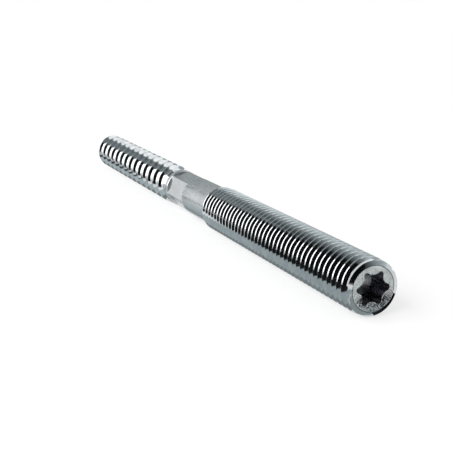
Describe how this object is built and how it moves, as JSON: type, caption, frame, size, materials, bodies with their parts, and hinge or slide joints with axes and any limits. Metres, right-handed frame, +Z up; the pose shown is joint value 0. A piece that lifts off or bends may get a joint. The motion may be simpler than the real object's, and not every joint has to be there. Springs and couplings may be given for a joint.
{
  "type": "hanger bolt",
  "caption": "Headless double-ended bolt: metric machine thread with a six-lobe drive at one end, coarse wood thread with a gimlet point at the other.",
  "frame": {"origin": "on the ground under the middle of the bolt's length, as it lies on its side", "axes": "+X along the bolt towards the machine-thread end, -X towards the point, +Z up"},
  "size_m": [0.12, 0.008, 0.008],
  "materials": {
    "zinc_plated_steel": "bright zinc plate"
  },
  "bodies": {
    "root": {"hanger_bolt": "zinc_plated_steel"}
  },
  "joints": []
}
